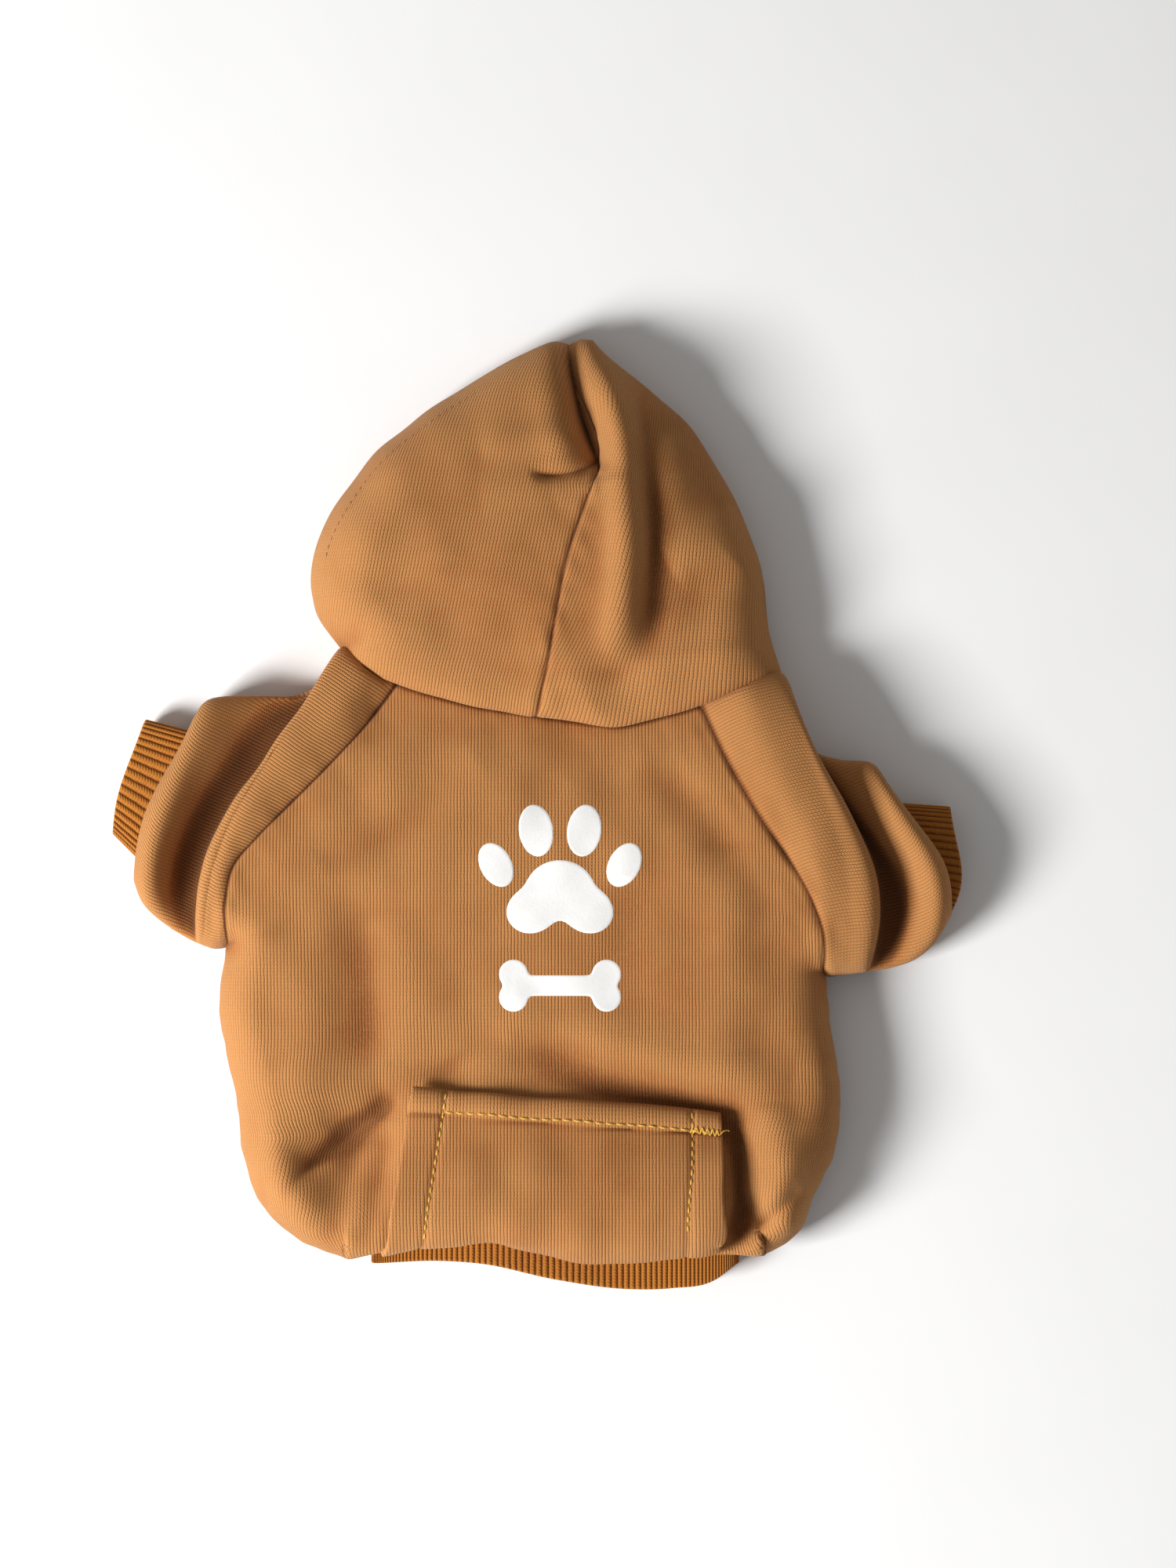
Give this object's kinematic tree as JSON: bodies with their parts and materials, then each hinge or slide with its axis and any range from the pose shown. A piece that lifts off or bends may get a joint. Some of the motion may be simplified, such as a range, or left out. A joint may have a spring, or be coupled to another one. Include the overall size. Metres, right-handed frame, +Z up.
{
  "type": "small dog hoodie",
  "caption": "Small dog's pullover hoodie in fleece-backed knit, lying flat with its back up: hood, raglan sleeves, ribbed cuffs and waistband, and a pocket low on the back.",
  "frame": {"origin": "on the surface that the garment lies on, under the middle of its bounding box", "axes": "+Y from the waist to the hood, +Z up out of the back, +X to the right as the back is seen with the hood at the top"},
  "size_m": [0.25, 0.2774, 0.0311],
  "materials": {
    "fleece": "matt brushed polyester knit, caramel",
    "rib_knit": "matt ribbed knit, rust with a mustard tint"
  },
  "bodies": {
    "root": {"back_panel": "fleece", "belly_panel": "fleece", "left_sleeve": "fleece", "right_sleeve": "fleece", "hood_left": "fleece", "hood_right": "fleece", "pocket": "fleece", "left_cuff": "rib_knit", "right_cuff": "rib_knit", "waist_rib": "rib_knit"}
  },
  "joints": []
}
